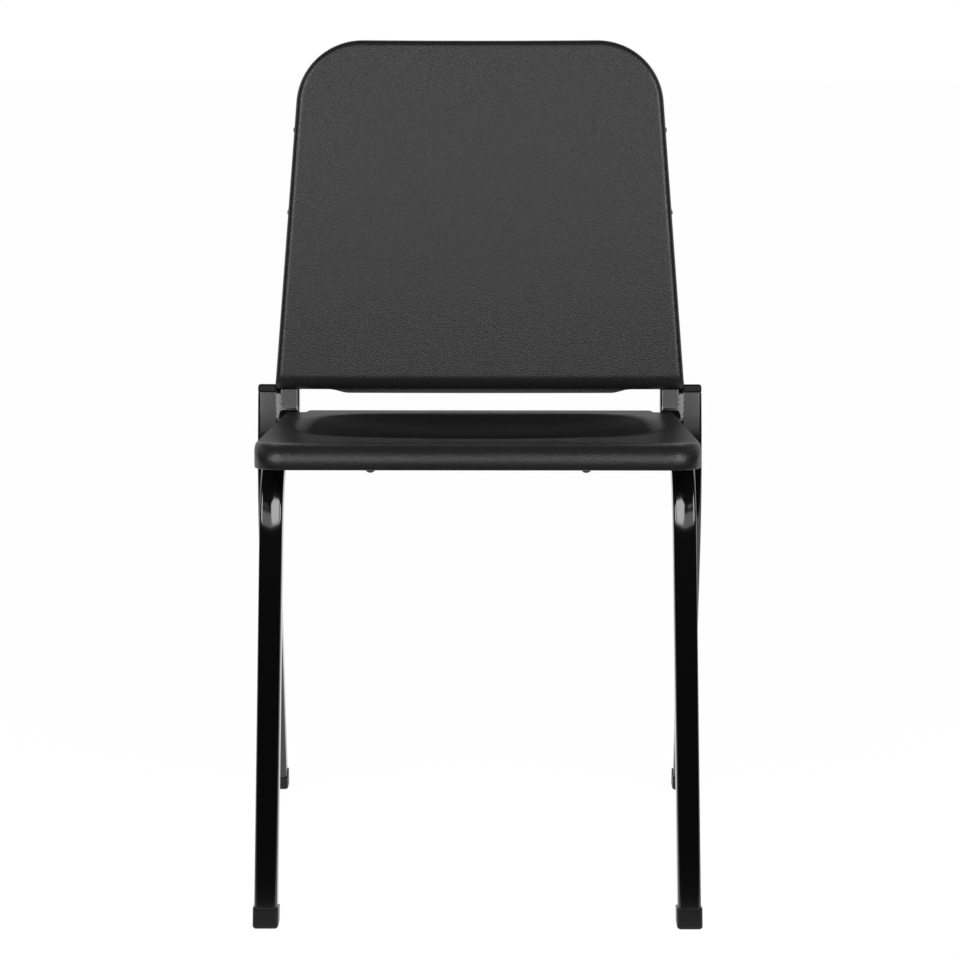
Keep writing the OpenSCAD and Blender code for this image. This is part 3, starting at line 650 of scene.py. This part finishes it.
def dish(x, y):
    # Depth of the hollow: a squarish bowl, q 0 in its middle and 1 at its rim, steepest at the rear
    power = np.where(y > dishY, seat["rearPower"], seat["frontPower"])
    q = (np.abs(x) / dishHalf) ** seat["sidePower"] + (np.abs(y - dishY) / dishReach) ** power
    return seat["dishDepth"] * np.clip(1 - q, 0, 1) ** seat["wallPower"]


def onSeat(flat, down=0.0, dished=True):
    # Points of a plan set on the seat's top, or straight down from it
    x, y = flat[..., 0], flat[..., 1]
    depth = dish(x, y) if dished else 0
    return np.stack([x, y, seatPlane(y) - down - depth], -1)


def edgeDepth(p):
    # Depth of the turned down edge: deep in front, shallow on the rails, rolled at the rear of the tongue
    y = p[:, 1]
    r = stance["rearRadius"] - tube["width"] / 2
    bendAngle = math.radians(90 - stance["recline"] + stance["seatFall"])
    tangent = stance["rearRadius"] * math.tan(bendAngle / 2)
    bendStart = seatRearY + seat["behind"] - tangent + tube["width"] / 2 * fallT
    reach = np.clip(y - bendStart, 0, r)
    rise = r - np.sqrt(r * r - reach * reach)
    onRail = np.maximum(seat["wall"], seat["sideDepth"] - rise)
    pastCorner = (y - seat["frontY"] - seat["cornerRadius"]) / seat["lipFade"]
    pastRoot = (y - seatRearY - seat["rootRadius"]) / seat["tongueRadius"]
    front = mix(seat["lip"], seat["sideDepth"], eased(pastCorner))
    rear = mix(seat["wall"], seat["rearDepth"], eased(pastRoot))
    return np.where(y > seatRearY + seat["rootRadius"], rear, np.where(y > 0, onRail, front))


def seatShell():
    # Rings out from the middle of the top to the rim, round it, down the edge, under it and back in
    base, inward = seatOutline()
    centre = np.array([0, dishY])
    depth = edgeDepth(base)
    fade = seat["cornerRadius"] * seat["edgeFadeShare"]
    nearFront = eased((seat["frontY"] + fade - base[:, 1]) / fade)
    radius = mix(seat["edgeRadius"], seat["frontEdgeRadius"], nearFront)
    rim = base + inward * radius[:, None]
    hem, inner, under = seat["hemRadius"], seat["lipWall"], seat["wall"]
    rows = [onSeat(mix(centre, rim, t)) for t in np.linspace(seatRings["middle"], 1, seatRings["top"])[:-1]]

    def edge(inset, down):
        rows.append(onSeat(base + inward * inset, down, dished=False))

    for a in quarter(seatRings["edge"]):
        edge((radius * (1 - math.sin(a)))[:, None], radius * (1 - math.cos(a)))
    for t in seatRings["lipShares"]:
        edge(0, mix(np.minimum(radius, depth - hem), depth - hem, t))
    for a in quarter(seatRings["hem"]):
        edge(hem * (1 - math.cos(a)), depth - hem * (1 - math.sin(a)))
    edge(inner, depth)
    for a in quarter(seatRings["inside"])[::-1]:
        edge((radius - (radius - inner) * math.sin(a))[:, None], radius - (radius - under) * math.cos(a))
    for t in np.linspace(1, seatRings["underMiddle"], seatRings["under"])[1:]:
        rows.append(onSeat(mix(centre, rim, t), under))
    return lattice(np.array(rows), firstPole=onSeat(centre), lastPole=onSeat(centre, under))


boss = {"x": 0.1065, "diameter": 0.018, "crossWidth": 0.019, "flare": 0.0015, "footShare": 0.35,
        "rows": ((0.1247, 0.0075), (0.3367, 0.0075))}


def seatBosses():
    # A boss stands on each cross tube under a screw, flared where it meets the seat
    patches = []
    a = fullTurn()
    circle = np.stack([np.cos(a), np.sin(a), 0 * a], -1)
    for back, drop in boss["rows"]:
        y = seat["frontY"] + back
        crossZ = seatPlane(y, railDown) - drop
        low = crossZ + boss["crossWidth"] / 2 + boss["diameter"] / 2 * fallT + seat["fit"]
        high = float(onSeat(np.array([boss["x"], y]), seat["wall"] / 2)[2])
        r = boss["diameter"] / 2
        for x in (-boss["x"], boss["x"]):
            heights = (low, low, high - seat["wall"] - boss["flare"], high - seat["wall"] / 2, high)
            widths = (boss["footShare"], 1, 1, 1 + boss["flare"] / r, 1 + boss["flare"] / r)
            grid = np.array([np.array([x, y, z]) + circle * r * w for z, w in zip(heights, widths)])
            patches.append(lattice(grid, firstPole=[x, y, low], lastPole=[x, y, high]))
    return patches


newPiece("seatShell", [seatShell()] + seatBosses(), seatPlastic, ["seat_shell"], sharp=50)
print("seat made")


# Back shell. u runs across its face, v up it and w into its depth.

back = {
    "half": 0.2198, "height": 0.3799, "cornerRadius": 0.072, "hollow": 0.008, "wall": 0.004,
    "sideWall": 0.0024, "sideDepth": 0.037, "roll": 0.017, "rollAngle": 60, "lip": 0.0075, "lipFull": 0.141,
    "lipEnd": 0.163, "flatEnd": 0.188, "edgeRadius": 0.008, "footRadius": 0.004, "rise": 0.0005,
    "stand": 0.0128, "notch": 0.007, "notchFade": 0.002, "hemSoft": 0.0008,
}
backSteps = {"lip": 36, "lipFade": 12, "flat": 4, "foot": 6, "low": 7, "high": 34, "side": 70, "top": 36}
backRings = {"middle": 0.03, "face": 46, "edge": 19, "wallShares": (0.3, 0.7), "inside": 10,
             "insideMiddle": 0.05, "insideFace": 24}
recline, taper = math.radians(stance["recline"]), math.radians(stance["taper"])
rollAngle = math.radians(back["rollAngle"])
backV = np.array([0, math.sin(recline), math.cos(recline)])
backW = np.array([0, math.cos(recline), -math.sin(recline)])
backZ = seat["height"] + back["rise"]
uprightY = sideCorners[2][1] + (backZ - sideCorners[2][2]) * reclineT
backOrigin = np.array([0, uprightY - (tube["width"] / 2 + back["stand"]) / math.cos(recline), backZ])


def onBack(u, v, w):
    # The face is hollow from side to side: deepest in the middle, a parabola out to the edges
    w = w + back["hollow"] * np.clip(1 - (u / back["half"]) ** 2, 0, None)
    flat = np.array([1.0, 0, 0]) * u[..., None]
    return backOrigin + flat + backV * v[..., None] + backW * w[..., None]


def backOutline(inset, foot):
    # Half the outline at an inset of the sides and top and a height of the foot, with each point's share of
    # the foot: 1 along it and 0 from the lower corners up
    def sideX(v, e):
        return back["half"] - e / math.cos(taper) - v * math.tan(taper)

    fr, cr = back["footRadius"], back["cornerRadius"]
    low = arc([sideX(foot + fr, inset + fr), foot + fr], fr, -90, stance["taper"], backSteps["low"])
    cornerAt = [sideX(back["height"] - cr, cr), back["height"] - cr]
    high = arc(cornerAt, cr - inset, stance["taper"], 90, backSteps["high"])
    notch = [foot + back["notch"], foot + back["notch"] + back["notchFade"]]
    notched = np.array([[sideX(v, inset), v] for v in notch])
    middle, top = [0, foot], [0, back["height"] - inset]
    lipFull, lipEnd, flatEnd = ([back[key], foot] for key in ("lipFull", "lipEnd", "flatEnd"))
    parts = [
        ([middle], 1), (line(middle, lipFull, backSteps["lip"]), 1),
        ([lipFull], 1), (line(lipFull, lipEnd, backSteps["lipFade"]), 1),
        ([lipEnd], 1), (line(lipEnd, flatEnd, backSteps["flat"]), 1),
        ([flatEnd], 1), (line(flatEnd, low[0], backSteps["foot"]), 1), (low, None),
        (notched, 0), (line(notched[1], high[0], backSteps["side"]), 0), (high, 0),
        (line(high[-1], top, backSteps["top"]), 0), ([top], 0),
    ]
    half = np.concatenate([np.array(p) for p, share in parts])
    shares = np.concatenate([np.linspace(1, 0, len(p)) if share is None else np.full(len(p), share)
                             for p, share in parts])
    hem = shares.copy()
    upToNotch = sum(len(p) for p, share in parts[:9]) + 1
    hem[:upToNotch] = 1
    return bothSides(half), np.concatenate([shares, shares[-2:0:-1]]), np.concatenate([hem, hem[-2:0:-1]])


def backRing(inset, sideW, footV, footW, hem=False, lip=0.0, square=0.0):
    # One ring round the shell. The middle of the foot hangs as a lip, and a hem is squared off.
    outline, shares, hemShares = backOutline(inset, footV)
    s = hemShares if hem else shares
    u, v = outline[:, 0], outline[:, 1]
    reach = back["lip"] * eased((back["lipEnd"] - np.abs(u)) / (back["lipEnd"] - back["lipFull"]))
    drop = lip * reach * shares - square * shares
    w = mix(sideW, footW, s) + drop * math.sin(rollAngle) - square * (1 - s)
    return onBack(u, v - drop * math.cos(rollAngle), w)


def rolled(t, angle):
    # Height and depth of the foot's roll at an angle round it, t under the face
    reach = back["roll"] - t
    return back["roll"] - reach * math.sin(angle), back["roll"] - reach * math.cos(angle)


def rollRing(a, t):
    # Round the side and top edge by a quarter turn and round the foot by the roll's angle, t under the face
    turn, edge = math.radians(a), back["edgeRadius"]
    sideIn = t * back["sideWall"] / back["wall"]
    return backRing(mix(edge, sideIn, math.sin(turn)), mix(edge, t, math.cos(turn)),
                    *rolled(t, rollAngle * a / 90))


def backShell():
    # Rings from the middle of the face out to its edge, round it, back along the side walls to their hem,
    # and the same way back inside them
    centre = np.array([0, back["height"] / 2])
    outline = backOutline(back["edgeRadius"], back["roll"])[0]

    def face(share, t):
        flat = mix(centre, outline, share)
        return onBack(flat[:, 0], flat[:, 1], t + 0 * flat[:, 0])

    def hem(t, square=0.0):
        sideIn = t * back["sideWall"] / back["wall"]
        return backRing(sideIn, back["sideDepth"], *rolled(t, rollAngle), hem=True, lip=1, square=square)

    wall, soft, shares = back["wall"], back["hemSoft"], backRings["wallShares"]
    rows = [face(share, 0) for share in np.linspace(backRings["middle"], 1, backRings["face"])[:-1]]
    rows += [rollRing(a, 0) for a in np.linspace(0, 90, backRings["edge"])]
    rows += [mix(rollRing(90, 0), hem(0), t) for t in shares]
    rows += [hem(0, soft), hem(soft / 2), hem(wall - soft / 2), hem(wall, soft)]
    rows += [mix(hem(wall), rollRing(90, wall), t) for t in shares]
    rows += [rollRing(a, wall) for a in np.linspace(90, 0, backRings["inside"])]
    inside = np.linspace(1, backRings["insideMiddle"], backRings["insideFace"])[1:]
    rows += [face(share, wall) for share in inside]
    middle = np.array([0.0]), np.array([back["height"] / 2])
    return lattice(np.array(rows), firstPole=onBack(*middle, np.array([0.0]))[0],
                   lastPole=onBack(*middle, np.array([wall]))[0])


newPiece("backShell", [backShell()], backPlastic, ["back_shell"], sharp=50)
print("back made")


# Screws: a domed head with a six sided socket, and its shank

screws = {"seat": 0.006, "back": 0.005, "headShare": 1.65, "riseShare": 0.45, "socketShare": 0.42,
          "socketDepthShare": 0.3, "bevelShare": 1.06, "underShare": 0.98, "domeRings": 8,
          "backShares": (0.665, 0.92), "backLength": 0.009, "gap": 0.00005}


def screw(origin, x, y, z, d, length):
    # Turned round z: the socket's floor, its six walls, the dome, the flat under the head, the shank
    a = fullTurn()
    ring = np.stack([np.cos(a), np.sin(a)], -1)
    r, h = d * screws["headShare"] / 2, d * screws["riseShare"]
    dome = (r * r + h * h) / (2 * h)
    sixth = math.pi / 3
    hexagon = ring * (d * screws["socketShare"] / 2 / np.cos((a + sixth / 2) % sixth - sixth / 2))[:, None]

    def domeZ(flat):
        return np.sqrt(dome ** 2 - (flat ** 2).sum(-1)) - (dome - h)

    floorZ = h - d * screws["socketDepthShare"]
    bevel = hexagon * screws["bevelShare"]
    rows = [(hexagon * 0.5, floorZ), (hexagon, floorZ), (hexagon, domeZ(hexagon)), (bevel, domeZ(bevel))]
    for t in np.linspace(0, 1, screws["domeRings"])[1:]:
        flat = mix(bevel, ring * r, t)
        rows.append((flat, domeZ(flat)))
    rows += [(ring * r * screws["underShare"], 0), (ring * d / 2, 0), (ring * d / 2, -length),
             (ring * d / 4, -length)]
    grid = np.array([origin + x * flat[:, :1] + y * flat[:, 1:] + z * (np.zeros(len(flat)) + rise)[:, None]
                     for flat, rise in rows])
    return lattice(grid, firstPole=origin + z * floorZ, lastPole=origin - z * length)


def seatScrews(node):
    # Head down, with the shank as long as the node is high
    low, high = (np.array(corner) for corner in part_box(node))
    z = low[2] + screws["seat"] * screws["riseShare"]
    axes = np.array([[1.0, 0, 0], [0, -1.0, 0], [0, 0, -1.0]])
    return [screw(np.array([x, (low[1] + high[1]) / 2, z]), *axes, screws["seat"], high[2] - z)
            for x in (-boss["x"], boss["x"])]


def backScrews():
    # Square to the upright, with the head on the shell's side wall
    path = roundedPath(sideCorners, sideRadii)
    up, side = path["along"][-1], path["side"][-1]
    wallN = np.array([math.cos(taper), 0, 0]) + math.sin(taper) * backV
    patches = []
    for share in screws["backShares"]:
        spot = sideCorners[3] + up * (share * stance["uprightLength"] - stance["leanStart"]) / up[2]
        reach = (backOrigin + [back["half"], 0, 0] - spot) @ wallN / (side @ wallN)
        patches.append(screw(spot + side * (reach + screws["gap"]), np.cross(up, side), up, side,
                             screws["back"], screws["backLength"]))
    return patches


newPiece("frontSeatScrews", seatScrews("front_seat_screws"), screwSteel, ["front_seat_screws"])
newPiece("rearSeatScrews", seatScrews("rear_seat_screws"), screwSteel, ["rear_seat_screws"])
newPiece("rightBackScrews", backScrews(), screwSteel, ["right_back_screws"])
newPiece("leftBackScrews", [mirrored(s) for s in backScrews()], screwSteel, ["left_back_screws"])
print("screws made")


# Floor, lights and camera

studio = {
    "floorSize": 60, "floorGlow": 0.975, "floorColour": 0.05, "sky": 1.0, "skyFill": 0.25, "card": 0.015,
    "near": -3.6, "far": 2.6, "half": 2.9, "high": 3.4, "sideEnd": 0.9, "matEnd": -0.5, "matLift": 0.002,
    "aim": (0, 0, 0.5),
}
boxes = {
    "side": {
        "corner": (0.58, -2.3, 1.08), "across": (1.3, 0.8, 0), "up": (0.25, 0.6, 1.4), "radiance": 5.8,
    },
    "front": {
        "corner": (0, -2.4, 1.08), "across": (0.6, 0, 0), "up": (0, 0.2, 0.75), "radiance": 1.5,
    },
}
view = {"place": (0.016, -2.8896, 0.8789), "tilt": 80.5, "turn": 0.296, "lens": 106.9, "sensor": 36,
        "clipEnd": 100}


def seenLevel(tree, shown, otherwise):
    # One value where a camera, mirror or glass ray looks at the background, another for the light it sheds
    path = addNode(tree, "LightPath").outputs
    seen = computed(tree, "Math", "MAXIMUM", path["Is Camera Ray"], path["Is Glossy Ray"])
    seen = computed(tree, "Math", "MAXIMUM", seen, path["Is Transmission Ray"])
    return remapped(tree, seen, (0, 1), (otherwise, shown))


def newMatte(name, grey, glowing=None):
    # A plain diffuse material, with a white glow over it where a level is given
    material = bpy.data.materials.new(name)
    material.use_nodes = True
    tree = material.node_tree
    tree.nodes.clear()
    covering = addNode(tree, "BsdfDiffuse", Color=(grey, grey, grey, 1)).outputs[0]
    if glowing is not None:
        glow, both = addNode(tree, "Emission"), addNode(tree, "AddShader")
        tree.links.new(seenLevel(tree, glowing, 0), glow.inputs["Strength"])
        tree.links.new(glow.outputs[0], both.inputs[0])
        tree.links.new(covering, both.inputs[1])
        covering = both.outputs[0]
    tree.links.new(covering, addNode(tree, "OutputMaterial").inputs["Surface"])
    return material


def sheet(name, corners, material):
    mesh = bpy.data.meshes.new(name)
    mesh.from_pydata(corners, [], [(0, 1, 2, 3)])
    mesh.materials.append(material)
    piece = bpy.data.objects.new(name, mesh)
    bpy.context.scene.collection.objects.link(piece)
    return piece


def flatSheet(name, half, near, far, z, material):
    return sheet(name, [(-half, near, z), (half, near, z), (half, far, z), (-half, far, z)], material)


def sideSheet(name, x, near, far, high, material):
    return sheet(name, [(x, near, 0), (x, far, 0), (x, far, high), (x, near, high)], material)


def makeStudio():
    # A white floor and sky: the floor glows where it is looked at, over a pale sheet that takes the chair's
    # shadow. Black cards stand in front, over and beside the chair, out of the picture, so that its gloss
    # shows a dark room with soft boxes in it.
    page = studio["floorSize"] / 2
    paper = newMatte("pageFloor", studio["floorColour"], studio["floorGlow"])
    flatSheet("studioFloor", page, -page, page, 0, paper)
    black = newMatte("cardBlack", studio["card"])
    near, half, high = studio["near"], studio["half"], studio["high"]
    front = [(-half, near, 0), (half, near, 0), (half, near, high), (-half, near, high)]
    cards = [
        sheet("frontCard", front, black),
        flatSheet("topCard", half, near, studio["far"], high, black),
        sideSheet("leftCard", -half, near, studio["sideEnd"], high, black),
        sideSheet("rightCard", half, near, studio["sideEnd"], high, black),
        flatSheet("floorCard", half, near, studio["matEnd"], studio["matLift"], black),
    ]
    for card in cards:
        card.visible_camera = False
    world = bpy.data.worlds.new("studioSky")
    bpy.context.scene.world = world
    world.use_nodes = True
    tree = world.node_tree
    tree.nodes.clear()
    glow, out = addNode(tree, "Background", Color=(1, 1, 1, 1)), addNode(tree, "OutputWorld")
    tree.links.new(seenLevel(tree, studio["sky"], studio["skyFill"]), glow.inputs["Strength"])
    tree.links.new(glow.outputs["Background"], out.inputs["Surface"])


def softbox(name, corner, across, up, radiance):
    # A flat lamp over a parallelogram from one lower corner, turned to face the chair
    x = unit(across)
    up = up - x * (x @ up)
    y, centre = unit(up), corner + (across + up) / 2
    z = np.cross(x, y)
    if z @ (centre - studio["aim"]) < 0:
        x, z = -x, -z
    light = bpy.data.lights.new(name, "AREA")
    light.shape = "RECTANGLE"
    light.size, light.size_y = np.linalg.norm(across), np.linalg.norm(up)
    light.energy = radiance * math.pi * light.size * light.size_y
    box = bpy.data.objects.new(name, light)
    bpy.context.scene.collection.objects.link(box)
    box.matrix_world = Matrix(np.stack([x, y, z, centre], 1).tolist() + [[0, 0, 0, 1]])
    box.visible_camera = False


makeStudio()
for name, box in boxes.items():
    for side, hand in ((-1, "Left"), (1, "Right")):
        corner, across, up = (box[key] * np.array([side, 1, 1]) for key in ("corner", "across", "up"))
        softbox(f"{name}{hand}Box", corner, across, up, box["radiance"])

camera = bpy.data.cameras.new("viewCamera")
camera.lens, camera.sensor_width, camera.clip_end = view["lens"], view["sensor"], view["clipEnd"]
cameraObject = bpy.data.objects.new("viewCamera", camera)
bpy.context.scene.collection.objects.link(cameraObject)
cameraObject.location = view["place"]
cameraObject.rotation_euler = (math.radians(view["tilt"]), 0, math.radians(view["turn"]))
bpy.context.scene.camera = cameraObject
bpy.context.scene.view_settings.view_transform = "Standard"
print("studio made")
